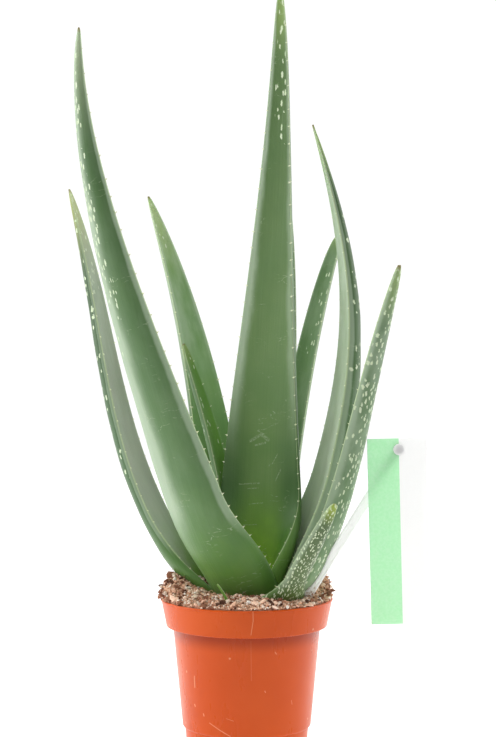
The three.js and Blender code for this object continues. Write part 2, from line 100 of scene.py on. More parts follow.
# What lies on the soil, coloured by stops of (tone, colour).
CRUMBS = {
    "bark": Values(
        count=760, sizes=(1.1, 3.8), flatness=(0.3, 0.6), lift=0.3, roughness=0.95, seed=11,
        stops=((0, (0.05, 0.02, 0.01)), (0.35, (0.3, 0.12, 0.065)),
               (0.65, (0.84, 0.5, 0.34)), (1, (0.95, 0.78, 0.64)))),
    "crumbs": Values(
        count=4200, sizes=(0.4, 1.3), flatness=(0.5, 0.9), lift=0.3, roughness=0.95, seed=12,
        stops=((0, (0.48, 0.22, 0.12)), (0.5, (0.86, 0.52, 0.34)),
               (1, (0.95, 0.78, 0.64)))),
    "perlite": Values(
        count=850, sizes=(0.6, 1.9), flatness=(0.6, 0.95), lift=0.45, roughness=0.8, seed=13,
        stops=((0, (0.78, 0.62, 0.47)), (0.6, (0.92, 0.81, 0.69)),
               (1, (0.94, 0.89, 0.82)))),
}
FIBRES = Values(
    count=560, lengths=(3.5, 11), radii=(0.12, 0.24), lifts=(0.3, 0.5, 1, 2.4, 3.6), seed=77,
    stops=((0, (0.09, 0.035, 0.018)), (0.5, (0.34, 0.15, 0.08)), (1, (0.78, 0.52, 0.34))))
STEM = Values(radius=12.2, foot=58, top=124, bevel=8)
LABEL = Values(
    stake_width=6.5, stake_thickness=1.2, web=0.7, bead=1.1, stake_foot=(41.8, -24, 114),
    stake_head=(104.4, -40, 218.7), buried=26, point=12, peg=2.6, head=3.9, head_thickness=1.2,
    hole=3.2, gap=0.35, width=41, height=128, thickness=0.8, from_left=21.6, from_top=7.8,
    tilt=1.5, corner=0.6, bevel=0.1)

CROWN = (7.1, 0)
BLADE = Values(
    hollow=0.06, roundness=0.95, least_half=0.7, least_thickness=1.2, tip_thickening=0.2,
    sheath=0.4, sheath_end=0.16, turn_end=0.3, waves=7, wave_lengths=(22, 90), wave_height=0.05,
    ring=2.6, sides=64, tip_round=2.2)
TOOTH = Values(height=2, root=1.5, length=1.35, thickness=0.55, lean=1.1, lowest=119, clear=0.8,
               near=9, far=17, sides=8, rings=6)
LEAF_DEFAULTS = dict(
    root=CROWN, taper=0.8, foot=1, foot_end=0.2, channel=14, clasp_end=0.25, clasp=130,
    thick=0.3, turn=0, bow=0, sway=0, teeth=0.8, bluntness=0.4)
# Each leaf grows in an upright plane at `azimuth` degrees, as in the CAD: `path` is its spine's
# four control points (distance from the crown, height). The leaves of the rosette are listed
# from the outside in, and the pup comes last.
LEAVES = {
    "leaf_spotted": dict(
        azimuth=-57, path=((30, 104), (49, 132), (78, 165), (95, 186)), width=19, taper=0.4,
        foot=2.4, foot_end=0.3, channel=12, turn=2),
    "leaf_low_left": dict(
        azimuth=162, path=((28, 104), (112, 190), (99.5, 290), (143, 402)), width=34.5,
        taper=0.54, foot=1.62, turn=6, bow=7),
    "leaf_low_right": dict(
        azimuth=-38, path=((27, 104), (68, 170), (69, 225), (120.6, 346)), width=26.5,
        taper=0.39, foot=1.7, bow=10.5),
    "leaf_hidden": dict(
        azimuth=70, path=((25, 104), (62, 180), (88, 300), (68, 401)), width=26, taper=0.6,
        foot=1.2, bow=3),
    "leaf_back_right": dict(
        azimuth=47, path=((18, 106), (39, 170), (88, 340), (90, 369)), width=23, taper=0.44,
        foot=1.1, turn=-16, bow=15.3),
    "leaf_young": dict(
        azimuth=150, path=((19, 106), (29, 170), (47, 230), (61, 290)), width=20, taper=0.4,
        channel=30, turn=8, bow=-14, thick=0.24),
    "leaf_left": dict(
        azimuth=209, path=((22, 106), (73, 230), (150, 380), (136, 504)), width=76, taper=1.03,
        foot=1.15, foot_end=0.34, turn=-9, bow=16, thick=0.2, clasp_end=0.22, teeth=1.05),
    "leaf_right": dict(
        azimuth=18, path=((22, 106), (67, 248), (85, 308), (41, 446)), width=46, taper=0.85,
        foot=1.2, turn=3, bow=-2, thick=0.36),
    "leaf_back_left": dict(
        azimuth=138, path=((22, 106), (50, 170), (68, 300), (108, 398)), width=43, taper=0.7,
        foot=1.15, turn=20, bow=-14, bluntness=0.58),
    "leaf_tall": dict(
        azimuth=70, path=((11, 108), (8, 220), (60, 390), (41, 546)), width=81.5, taper=1.12,
        foot=0.93, foot_end=0.42, turn=6, sway=-3.2, bow=3.1, thick=0.2, clasp_end=0.22,
        clasp=140, bluntness=0.46),
    "sprout": dict(
        root=(-9.9, -40), azimuth=195, path=((1, 104), (1, 112), (4, 118), (11, 127)), width=4.4,
        taper=0.5, thick=0.5),
}
TOOTHLESS = ("sprout",)

# ---- Looks of the leaves

# Colours are linear. `inner` is the face towards the crown, `outer` the back of the leaf, `base`
# the foot's inner face and `tip` the last stretch. The pale wax on a leaf is given by `bloom`,
# on the inner and the outer face. `edges` is a painted sheen: (breadth, strength) of a pale
# band at each of the two margins, where light glances off the leaf. `bloom_from` is how
# far along the leaf (0 to 1) both have come in fully. `sides` is painted shade: how much darker
# the foot is towards its margins, where the other leaves shade it. A zone of `flecks` is face
# (1 inner, -1 outer), from and to across the blade (-1 to 1), from and to along it (0 to 1), and
# how full it is. One of the `marks` is a rubbed line between two points of the blade, (across,
# along) in mm, and its width.
LEAF_LOOK = dict(
    inner=(0.108, 0.198, 0.06), outer=(0.085, 0.175, 0.055), base=(0.15, 0.32, 0.03),
    base_end=0.3, tip=(0.24, 0.35, 0.1), tip_start=0.87, fleck_size=1, bloom=(0.08, 0.12),
    edges=((0.3, 0.5), (0.3, 0.5)), bloom_from=0.3, sides=0.5, flecks=(), scuffs=0.5, marks=())
LOOKS = {
    # The tall leaf's foot is yellow-green and painted paler still: painted light in the trough that
    # the outer leaves shade. Its foot's margins get strong painted shade (`sides`).
    "leaf_tall": dict(
        edges=((0.3, 0.42), (0.5, 0.9)), bloom_from=0.42, bloom=(0.02, 0.12),
        base=(0.27, 0.5, 0.045), base_end=0.24, sides=0.9, fleck_size=1.5, scuffs=0.9,
        flecks=((1, -0.85, 0.3, 0.78, 1, 0.7), (-1, -0.9, 0.9, 0.55, 1, 0.35)),
        marks=((9, 112, 1, 117, 1.6), (1, 117, -5, 113, 1.8), (5, 109, -3, 111, 1),
               (17, 81, 1, 82, 0.7), (10, 78, 2, 78.5, 0.5), (9, 67, -2, 68, 0.6),
               (13, 52, 3, 52.5, 0.5), (-12, 84, -16, 92, 0.6), (-9, 96, -13, 103, 0.5),
               (14, 40, 6, 41, 0.5))),
    # Its left side carries a broad painted sheen (`edges`), pale where the light from the left
    # glances off it.
    "leaf_left": dict(
        outer=(0.07, 0.16, 0.044), bloom=(0.1, 0.08), edges=((1.4, 1.9), (0.1, 0.5)),
        bloom_from=0.2, tip=(0.3, 0.37, 0.23), tip_start=0.78, fleck_size=1.25, scuffs=0.9,
        flecks=((-1, -0.9, 0.25, 0.5, 0.97, 0.7), (1, -0.8, 0.8, 0.6, 1, 0.3))),
    # Its inner face is pale with wax, and its foot is painted paler still: painted light where the
    # tall leaf shades it.
    "leaf_right": dict(
        inner=(0.32, 0.43, 0.26), outer=(0.045, 0.115, 0.028), bloom=(0.6, 0.05),
        bloom_from=0.06, edges=((0.1, 0.5), (0.3, 0.5)), base=(0.4, 0.58, 0.28), sides=0,
        flecks=((-1, -0.9, 0.2, 0.3, 1, 0.35),)),
    "leaf_low_left": dict(
        inner=(0.32, 0.37, 0.275), outer=(0.045, 0.11, 0.034), bloom=(0.3, 0.06),
        bloom_from=0.2, edges=((0.3, 0.4), (0.05, 0.4)), tip=(0.34, 0.38, 0.13), tip_start=0.8,
        sides=0.1, flecks=((-1, 0.2, 1, 0.3, 1, 0.4), (1, -0.5, 0.9, 0.75, 1, 0.4))),
    "leaf_low_right": dict(
        outer=(0.11, 0.215, 0.085), bloom=(0.3, 0.3), bloom_from=0.1,
        edges=((0.35, 0.6), (0.35, 0.4)),
        flecks=((-1, -1, 1, 0.1, 1, 0.7), (1, -0.9, 0.9, 0.4, 1, 0.4))),
    # This leaf is painted paler all over and has broad pale margins: painted light, for the light
    # that glows through it from behind.
    "leaf_back_left": dict(
        inner=(0.19, 0.36, 0.12), bloom=(0.35, 0.3), bloom_from=0.75, base_end=0.5,
        base=(0.1, 0.26, 0.03), edges=((0.4, 0.9), (0.45, 0.8)), tip=(0.3, 0.42, 0.11),
        tip_start=0.76, flecks=((1, 0, 0.8, 0.85, 1, 0.3),)),
    "leaf_back_right": dict(
        inner=(0.13, 0.26, 0.085), bloom=(0.2, 0.2), flecks=((1, -0.8, 0, 0.6, 1, 0.25),)),
    "leaf_hidden": dict(flecks=((-1, -1, 1, 0.3, 1, 0.5),)),
    "leaf_young": dict(
        inner=(0.14, 0.34, 0.042), outer=(0.085, 0.21, 0.045), bloom=(0, 0.1),
        edges=((0.3, 0.2), (0.3, 0.3)), base=(0.07, 0.2, 0.018), base_end=0.75, scuffs=0.2,
        flecks=((1, -0.6, 0.6, 0.5, 0.95, 0.2), (-1, -0.9, 0.9, 0.1, 0.9, 0.3))),
    "leaf_spotted": dict(
        inner=(0.12, 0.22, 0.05), outer=(0.08, 0.14, 0.04), bloom=(0.1, 0.05),
        tip=(0.3, 0.4, 0.04), tip_start=0.78, fleck_size=0.66,
        flecks=((-1, -1, 1, 0, 1, 2.2), (1, -1, 1, 0.1, 1, 0.9))),
    "sprout": dict(
        inner=(0.15, 0.38, 0.025), outer=(0.16, 0.36, 0.03), bloom=(0, 0),
        edges=((0.2, 0), (0.2, 0)), scuffs=0),
}
MARGIN_COLOUR = (0.5, 0.6, 0.36)
TOOTH_COLOUR = (0.78, 0.82, 0.56)
TOOTH_TIP_COLOUR = (0.8, 0.72, 0.5)
FLECK_COLOUR = (0.6, 0.69, 0.48)
WAX_AND_SHEEN_COLOUR = (0.46, 0.56, 0.42)
MARK_COLOUR = (0.38, 0.46, 0.3)
POINT_COLOUR = (0.22, 0.17, 0.07)
MOST_WAX_AND_SHEEN = 0.66

# ---- Shader helpers


class Signal:
    """The value at a shader node's output, for use in sums and products."""

    def __init__(self, socket):
        self.socket = socket

    def __add__(self, other):
        return calc("ADD", self, other)

    def __rsub__(self, other):
        return calc("SUBTRACT", other, self)

    def __sub__(self, other):
        return calc("SUBTRACT", self, other)

    def __mul__(self, other):
        return calc("MULTIPLY", self, other)

    def __abs__(self):
        return calc("ABSOLUTE", self)


def feed(socket, value):
    """Links a signal to the socket, or gives the socket a value of its own."""
    if isinstance(value, Signal):
        socket.id_data.links.new(value.socket, socket)
    else:
        socket.default_value = (*value, 1) if socket.type == "RGBA" else value


def make_node(kind, inputs, tree=None, **settings):
    """A shader node, in the given tree or in that of its first signal."""
    if tree is None:
        tree = next(value for value in inputs.values() if isinstance(value, Signal)).socket.id_data
    node = tree.nodes.new("ShaderNode" + kind)
    for name, value in settings.items():
        setattr(node, name, value)
    for name, value in inputs.items():
        feed(node.inputs[name], value)
    return node


def calc(operation, *values, clamp=False):
    inputs = dict(enumerate(values))
    return Signal(make_node("Math", inputs, operation=operation, use_clamp=clamp).outputs[0])


def vector_calc(operation, *values):
    node = make_node("VectorMath", dict(enumerate(values)), operation=operation)
    return Signal(node.outputs["Value" if operation in ("LENGTH", "DOT_PRODUCT") else "Vector"])


def stretched(place, *factors):
    return vector_calc("MULTIPLY", place, factors)


def ramp(value, low, high, start=0, end=1):
    """`start` below `low`, `end` above `high` and a smooth step between."""
    inputs = {"Value": value, "From Min": low, "From Max": high, "To Min": start, "To Max": end}
    node = make_node("MapRange", inputs, interpolation_type="SMOOTHSTEP")
    return Signal(node.outputs["Result"])


def blend(share, first, second, mode="MIX"):
    inputs = {0: share, 6: first, 7: second}
    return Signal(make_node("Mix", inputs, data_type="RGBA", blend_type=mode).outputs[2])


def grain(place, scale, detail=3, roughness=0.5):
    inputs = {"Vector": place, "Scale": scale, "Detail": detail, "Roughness": roughness}
    return Signal(make_node("TexNoise", inputs).outputs[0])


def bent(place, scale, *reach):
    """The place moved on by a noise, by up to the reach."""
    noise = make_node("TexNoise", {"Vector": place, "Scale": scale, "Detail": 2})
    return vector_calc("ADD", place, stretched(Signal(noise.outputs[1]), *reach))


def cells(place, scale, feature="F1", dimensions="2D"):
    """The distance and the colour of a pattern of cells."""
    node = make_node("TexVoronoi", {"Vector": place, "Scale": scale}, feature=feature,
                     voronoi_dimensions=dimensions)
    return [Signal(socket) for socket in node.outputs[:2]]


def colours(value, stops):
    node = make_node("ValToRGB", {"Fac": value})
    elements = node.color_ramp.elements
    while len(elements) < len(stops):
        elements.new(0.5)
    for element, (place, colour) in zip(elements, stops):
        element.position = place
        element.color = (*colour, 1)
    return Signal(node.outputs["Color"])


def attribute(tree, name):
    return Signal(make_node("Attribute", {}, tree, attribute_name=name).outputs["Vector"])


def coordinate(tree, kind="Object"):
    return Signal(make_node("TexCoord", {}, tree).outputs[kind])


def split(vector):
    return [Signal(socket) for socket in make_node("SeparateXYZ", {0: vector}).outputs]


def join(x, y, z=0):
    return Signal(make_node("CombineXYZ", {0: x, 1: y, 2: z}).outputs[0])


def new_material(name):
    """An empty material with its node tree and its Principled shader."""
    material = bpy.data.materials.new(name)
    material.use_nodes = True
    return material, material.node_tree, material.node_tree.nodes["Principled BSDF"]


def bump(shader, height, strength, distance):
    inputs = {"Height": height, "Strength": strength, "Distance": distance}
    feed(shader.inputs["Normal"], Signal(make_node("Bump", inputs).outputs["Normal"]))


def set_inputs(shader, **values):
    for name, value in values.items():
        feed(shader.inputs[name.replace("_", " ")], value)


# ---- Mesh helpers


def around(count):
    """Evenly spaced angles round a circle."""
    return TURN * np.arange(count) / count


def put(name, data):
    """A new object in the scene."""
    thing = bpy.data.objects.new(name, data)
    bpy.context.scene.collection.objects.link(thing)
    return thing


def new_mesh(name, vertices, faces):
    mesh = bpy.data.meshes.new(name)
    mesh.from_pydata((np.asarray(vertices) * MM).tolist(), [], faces)
    return mesh


def new_piece(name, vertices, faces, material, smooth_angle=50, fields=None):
    """A piece of the root body, its mesh given in mm, with named vector fields on its points."""
    mesh = new_mesh(name, vertices, faces)
    mesh.validate()
    for field, values in (fields or {}).items():
        layer = mesh.attributes.new(field, "FLOAT_VECTOR", "POINT")
        layer.data.foreach_set("vector", np.asarray(values, np.float32).ravel())
    mesh.shade_smooth()
    mesh.set_sharp_from_angle(angle=math.radians(smooth_angle))
    mesh.materials.append(material)
    piece = put(name, mesh)
    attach(piece, "root")
    return piece


def ring_faces(rings, sides, first=0):
    """Quads between closed rings of points."""
    faces = []
    for row in range(first, first + (rings - 1) * sides, sides):
        for k in range(sides):
            following = (k + 1) % sides
            faces.append((row + k, row + following, row + sides + following, row + sides + k))
    return faces


def cap(first, sides, step=1):
    """One face over a ring, the other way round if `step` is -1."""
    return tuple(range(first, first + sides))[::step]


def strip_ends(rings, sides):
    """Strips of quads that close the first and the last ring."""
    faces = []
    last = (rings - 1) * sides
    for k in range(sides // 2):
        near = (k, k + 1, sides - k - 1, (sides - k) % sides)
        far = (last + near[3], last + near[2], last + k + 1, last + k)
        faces += [tuple(dict.fromkeys(near))[::-1], tuple(dict.fromkeys(far))[::-1]]
    return faces


def lathe(profile, segments):
    """A closed profile of (radius, height), the first and last point on the axis, turned."""
    inner = np.array(profile[1:-1], float)
    angles = around(segments)
    points = [np.array([[0, 0, profile[0][1]], [0, 0, profile[-1][1]]])]
    for radius, height in inner:
        ring = [radius * np.cos(angles), radius * np.sin(angles), np.full(segments, height)]
        points.append(np.stack(ring, 1))
    faces = []
    last = 2 + (len(inner) - 1) * segments
    for k in range(segments):
        following = (k + 1) % segments
        faces += [(0, 2 + following, 2 + k), (1, last + k, last + following)]
    return np.concatenate(points), faces + ring_faces(len(inner), segments, 2)


def bevelled(radius, low, high, bevel, segments):
    """A cylinder with its upper edge bevelled."""
    return lathe([(0, low), (radius, low), (radius, high - bevel), (radius - bevel, high),
                  (0, high)], segments)


def loose_object(vertices, faces):
    """An object that only serves as a cutter."""
    return put("cutter", new_mesh("cutter", vertices, faces))


def taken_shape(thing):
    """The points, in mm, and faces of an object as it shows, which is then removed."""
    bpy.context.view_layer.update()
    graph = bpy.context.evaluated_depsgraph_get()
    mesh = bpy.data.meshes.new_from_object(thing.evaluated_get(graph))
    bpy.data.objects.remove(thing)
    points = np.array([vertex.co for vertex in mesh.vertices]) / MM
    return points, [tuple(polygon.vertices) for polygon in mesh.polygons]


def cut_away(vertices, faces, cutters):
    """The mesh less the cutters: its points in mm and its faces, largest body only."""
    body = loose_object(vertices, faces)
    for cutter in cutters:
        modifier = body.modifiers.new("cut", "BOOLEAN")
        modifier.operation = "DIFFERENCE"
        modifier.solver = "MANIFOLD"
        modifier.object = cutter
    return largest_body(*taken_shape(body))


def largest_body(points, faces):
    """Only the connected body with the most points."""
    parent = list(range(len(points)))

    def head(i):
        while parent[i] != i:
            parent[i] = parent[parent[i]]
            i = parent[i]
        return i

    for face in faces:
        first = head(face[0])
        for corner in face[1:]:
            parent[head(corner)] = first
    heads = np.array([head(i) for i in range(len(points))])
    names, counts = np.unique(heads, return_counts=True)
    kept = heads == names[counts.argmax()]
    order = np.cumsum(kept) - 1
    return points[kept], [tuple(int(order[i]) for i in f) for f in faces if kept[f[0]]]


# ---- Leaf shapes


def smooth_rise(low, high, value):
    share = np.clip((value - low) / (high - low), 0, 1)
    return share * share * (3 - 2 * share)


def spine(leaf, t):
    """Points of the spine, 0 at the crown and 1 at the tip."""
    rest = 1 - t
    weights = np.stack([rest ** 3, 3 * rest * rest * t, 3 * rest * t * t, t ** 3], 1)
    out, height = (weights @ np.array(leaf.path, float)).T
    azimuth = math.radians(leaf.azimuth)
    side = leaf.sway * t * t + leaf.bow * np.sin(np.pi * t)
    x = leaf.root[0] + out * math.cos(azimuth) - side * math.sin(azimuth)
    y = leaf.root[1] + out * math.sin(azimuth) + side * math.cos(azimuth)
    return np.stack([x, y, height], 1)


def spine_frame(leaf, t):
    """Directions along the spine, towards the inner face and across, at each t."""
    step = 1e-3
    along = spine(leaf, np.minimum(1, t + step)) - spine(leaf, np.maximum(0, t - step))
    along /= np.linalg.norm(along, axis=1)[:, None]
    azimuth = math.radians(leaf.azimuth)
    outward = np.array([math.cos(azimuth), math.sin(azimuth), 0])
    inward = np.outer(along @ outward, [0, 0, 1]) - outward * along[:, 2:]
    inward -= along * (inward * along).sum(1)[:, None]
    inward /= np.linalg.norm(inward, axis=1)[:, None]
    roll = (math.radians(leaf.turn) * smooth_rise(0, BLADE.turn_end, t))[:, None]
    inward = inward * np.cos(roll) + np.cross(inward, along) * np.sin(roll)
    return along, inward, np.cross(inward, along)


def leaf_section(leaf, t):
    """Half width, thickness and half angle of the trough at each t."""
    rest = 1 - t
    narrowing = (rest ** (4 * leaf.taper) + (leaf.bluntness ** 2 * rest) ** 2) ** 0.25
    blade = leaf.width / 2 * narrowing
    widening = leaf.foot + (1 - leaf.foot) * smooth_rise(0, leaf.foot_end, t)
    half = np.maximum(blade * widening, BLADE.least_half)
    sheath = BLADE.sheath + (1 - BLADE.sheath) * smooth_rise(0, BLADE.sheath_end, t)
    fullness = leaf.thick + BLADE.tip_thickening * t
    thickness = np.maximum(2 * blade * fullness * sheath, BLADE.least_thickness)
    foot_wrap = min(leaf.width / 2 * leaf.foot / leaf.path[0][0], math.radians(leaf.clasp))
    channel = math.radians(leaf.channel)
    wrap = channel + (foot_wrap - channel) * (1 - smooth_rise(0, leaf.clasp_end, t))
    return half, thickness, wrap


def leaf_skin(leaf, t, turn, grow=0, swell=0):
    """Points of the skin, one ring for each t. `turn` runs round the section from one margin
    over the inner face to the other margin and back. `swell` adds a height to each point."""
    half, thickness, wrap = (value[:, None] for value in leaf_section(leaf, t))
    _, inward, across = spine_frame(leaf, t)
    sine = np.sin(turn)[None, :]
    up, down = np.maximum(sine, 0), np.maximum(-sine, 0)
    depth = np.where(sine >= 0, -BLADE.hollow * half * up - grow * np.sqrt(up),
                     thickness * down ** BLADE.roundness + grow * np.sqrt(down)) + swell
    angle = np.cos(turn)[None, :] * wrap * (half + grow) / half
    radius = half / wrap
    reach = radius + depth
    sideways = (reach * np.sin(angle))[..., None] * across[:, None, :]
    upwards = (radius - reach * np.cos(angle))[..., None] * inward[:, None, :]
    return spine(leaf, t)[:, None, :] + sideways + upwards


def arc_lengths(leaf, t):
    steps = np.linalg.norm(np.diff(spine(leaf, t), axis=0), axis=1)
    return np.concatenate([[0], np.cumsum(steps)])


def fine_leaf(leaf, dice):
    """Points, faces and the two coordinate fields of a leaf's smooth skin, without teeth."""
    length = arc_lengths(leaf, np.linspace(0, 1, 60))[-1]
    rings = int(length / BLADE.ring)
    # The rings close up towards the tip, so that it can be rounded.
    even = np.linspace(0, 1, rings)
    t = even - 0.35 / rings * smooth_rise(0.97, 1, even)
    turn = around(BLADE.sides)
    cosine, sine = np.cos(turn), np.sin(turn)
    along = arc_lengths(leaf, t)
    half = leaf_section(leaf, t)[0]
    swell = np.zeros((rings, BLADE.sides))
    for _ in range(BLADE.waves):
        wave = TURN / dice.uniform(*BLADE.wave_lengths)
        sideways = dice.uniform(1, 3.2)
        swell += np.sin(wave * along[:, None] + sideways * cosine + dice.uniform(0, TURN))
    swell *= BLADE.wave_height * np.abs(sine) * np.minimum(half, 12)[:, None] / 12
    points = leaf_skin(leaf, t, turn, swell=swell)
    round_tip(points, length - along)
    blade = np.stack(np.broadcast_arrays(cosine * half[:, None], along[:, None], sine), -1)
    share = np.stack(np.broadcast_arrays(t[:, None], cosine, 0), -1)
    faces = ring_faces(rings, BLADE.sides) + strip_ends(rings, BLADE.sides)
    return points.reshape(-1, 3), faces, blade.reshape(-1, 3), share.reshape(-1, 3)


def round_tip(points, to_tip):
    """Draws the last rings in towards their middles, so that the tip ends in a round."""
    for ring, distance in zip(points, to_tip):
        if distance < BLADE.tip_round:
            scale = math.sqrt(max(1 - (1 - distance / BLADE.tip_round) ** 2, 0.02))
            middle = ring.mean(0)
            ring[:] = middle + (ring - middle) * scale


def tooth_places(leaf, dice):
    """(t, side) of each tooth: close together at the foot and further apart at the tip."""
    t_table = np.linspace(0, 1, 200)
    lengths = arc_lengths(leaf, t_table)
    places = []
    for side in (1, -1):
        at = dice.uniform(4, 10)
        while at < lengths[-1] - 5:
            t = float(np.interp(at, lengths, t_table))
            places.append((t, side))
            at += (TOOTH.near + (TOOTH.far - TOOTH.near) * t) * dice.uniform(0.75, 1.25)
    return places


def tooth(leaf, t, side, dice):
    """The rings of a small hooked cone, the last one its tip, and where it is rooted."""
    at = np.array([t])
    half, _, wrap = (value[0] for value in leaf_section(leaf, at))
    along, inward, across = (value[0] for value in spine_frame(leaf, at))
    seat = leaf_skin(leaf, at, np.array([0 if side > 0 else np.pi]))[0, 0]
    outward = side * math.cos(wrap) * across + math.sin(wrap) * inward
    size = leaf.teeth * min(1, 0.42 + half / 22) * dice.uniform(0.8, 1.15)
    flat = np.cross(outward, along)
    flat /= np.linalg.norm(flat)
    angles = around(TOOTH.sides)
    rings = []
    for step in np.linspace(0, 1, TOOTH.rings):
        rise = -TOOTH.root * min(size, half / 3) * (1 - step) + TOOTH.height * size * step
        middle = seat + outward * rise + along * TOOTH.lean * size * step * step
        width = size * TOOTH.length * (1 - step) ** 1.3
        depth = size * TOOTH.thickness * (1 - step) ** 0.8
        rings.append(middle + np.outer(np.cos(angles) * width, along)
                     + np.outer(np.sin(angles) * depth, flat))
    rings[-1] = middle[None, :]
    return rings, seat


def tooth_faces(first):
    """The skirt of a tooth, the fan at its tip and the cap at its root."""
    sides, rings = TOOTH.sides, TOOTH.rings - 1
    last = first + (rings - 1) * sides
    fan = [(last + k, last + (k + 1) % sides, last + sides) for k in range(sides)]
    return ring_faces(rings, sides, first) + fan + [cap(first, sides, -1)]


def add_teeth(leaf, skin, others, dice):
    """The skin with its teeth, none where another leaf is in the way or the margin is cut."""
    points, faces, blade, share = skin
    tree = BVHTree.FromPolygons(points.tolist(), faces)
    new_points, new_blade, new_share = [points], [blade], [share]
    t_table = np.linspace(0, 1, 60)
    lengths = arc_lengths(leaf, t_table)
    count = len(points)
    for t, side in tooth_places(leaf, dice):
        rings, seat = tooth(leaf, t, side, dice)
        tip = Vector(rings[-1][0])
        is_cut = tree.find_nearest(Vector(seat))[3] > TOOTH.clear
        is_blocked = any(other.find_nearest(tip)[3] < TOOTH.clear for other in others)
        if is_cut or is_blocked or seat[2] < TOOTH.lowest:
            continue
        half = leaf_section(leaf, np.array([t]))[0][0]
        along = np.interp(t, t_table, lengths)
        for height, ring in zip(np.linspace(0, 1, TOOTH.rings), rings):
            new_points.append(ring)
            new_blade.append(np.tile([side * half, along, 0], (len(ring), 1)))
            new_share.append(np.tile([t, side, height], (len(ring), 1)))
        faces = faces + tooth_faces(count)
        count += (TOOTH.rings - 1) * TOOTH.sides + 1
    return [np.concatenate(new_points), faces, np.concatenate(new_blade), np.concatenate(new_share)]


def carried_fields(points, old_points, fields):
    """Each field's value at the nearest of the old points."""
    tree = KDTree(len(old_points))
    for index, point in enumerate(old_points):
        tree.insert(point, index)
    tree.balance()
    nearest = np.array([tree.find(point)[1] for point in points])
    return [field[nearest] for field in fields]


def cutter_of(leaf):
    """A leaf's skin, a little larger all round, as a cutter."""
    rings, sides = 90, 40
    points = leaf_skin(leaf, np.linspace(0, 1, rings), around(sides), grow=GAP).reshape(-1, 3)
    return loose_object(points, ring_faces(rings, sides) + strip_ends(rings, sides))


# ---- Leaf material


def skin_signals(tree, name):
    """What a leaf's material is drawn by: the place on its blade and the face it is on."""
    skin = Values()
    skin.across, skin.along, skin.face = split(attribute(tree, "blade"))
    skin.t, skin.sideways, skin.tooth = split(attribute(tree, "share"))
    skin.on_inner = ramp(skin.face, -0.04, 0.04)
    # Each leaf, and each of its faces, has a place of its own in the noises.
    offset = float(sum(map(ord, name)))
    skin.place = join(skin.across + offset, skin.along, ramp(skin.face, -0.05, 0.05) * 40)
    skin.stripes = grain(stretched(skin.place, 0.9, 0.018, 1), 1)
    return skin


def fleck_mask(skin, look):
    """Pale oval flecks, long in the leaf's own direction, in the look's zones."""
    fullness = 0
    soft = 0.12
    for side, left, right, start, end, amount in look.flecks:
        zone = (ramp(skin.face * side, 0.02, 0.15, 0, amount)
                * ramp(skin.sideways, left - soft, left + soft)
                * ramp(skin.sideways, right - soft, right + soft, 1, 0)
                * ramp(skin.t, start - 0.06, start + 0.08)
                * ramp(skin.t, end - 0.02, end + 0.03, 1, 0))
        fullness = calc("MAXIMUM", fullness, zone)
    fullness = fullness * ramp(grain(skin.place, 0.055, 1), 0.3, 0.62, 0.45, 1.25)
    moved = stretched(bent(skin.place, 0.6, 1.3, 3.5, 0), 0.52, 0.17, 0)
    distance, colour = cells(moved, 1 / look.fleck_size)
    luck, size, _ = split(colour)
    inside = calc("MULTIPLY_ADD", size, 0.16, 0.15) - distance
    return ramp(inside, -0.06, 0.06) * calc("LESS_THAN", luck, fullness)


def line_mask(place, lines):
    """Where `place` is near one of the lines (x1, y1, x2, y2, width)."""
    mask = 0
    for x1, y1, x2, y2, width in lines:
        way = (x2 - x1, y2 - y1, 0)
        length = way[0] ** 2 + way[1] ** 2
        away = vector_calc("SUBTRACT", place, (x1, y1, 0))
        share = calc("DIVIDE", vector_calc("DOT_PRODUCT", away, way), length, clamp=True)
        beside = vector_calc("SUBTRACT", away, vector_calc("MULTIPLY", way, share))
        distance = vector_calc("LENGTH", beside)
        mask = calc("MAXIMUM", mask, ramp(distance, 0.25 * width, width, 1, 0))
    return mask


def scuff_mask(place, amount):
    """Thin scratches in a few patches, most of them across the blade."""
    flat = stretched(bent(place, 0.12, 6, 6, 0), 0.06, 0.22, 0)
    lines = ramp(cells(flat, 1, "DISTANCE_TO_EDGE")[0], 0.01, 0.05, 1, 0)
    patches = ramp(grain(place, 0.05, 2), 0.52, 0.66, 0, amount)
    return lines * patches * ramp(grain(place, 0.5), 0.45, 0.6)


def wax_and_sheen_mask(skin, look):
    """How pale the skin is: real wax, thin on the faces, and a painted sheen, thick in a band at
    the margins.
    """
    inner, outer = look.bloom
    cloudy = grain(stretched(skin.place, 1, 0.3, 1), 0.09, 4, 0.6)
    faces = ramp(cloudy, 0.3, 0.72, 0.3, 1.4) * ramp(skin.on_inner, 0, 1, outer, inner)
    sheen_bands = 0
    # Painted sheen: a pale band at each margin, where light glances off the rounded edge of the
    # leaf.
    for side, (breadth, strength) in zip((-1, 1), look.edges):
        uneven = min(0.06, 0.15 * breadth)
        towards = skin.sideways * side + ramp(cloudy, 0.3, 0.7, -uneven, uneven)
        sheen_bands = calc("MAXIMUM", sheen_bands, ramp(towards, 1 - breadth, 0.96, 0, strength))
    wax_and_sheen = calc("MINIMUM", calc("SMOOTH_MAX", faces, sheen_bands, 0.3), MOST_WAX_AND_SHEEN)
    return wax_and_sheen * ramp(skin.t, 0.6 * look.bloom_from, look.bloom_from, 0.05, 1)


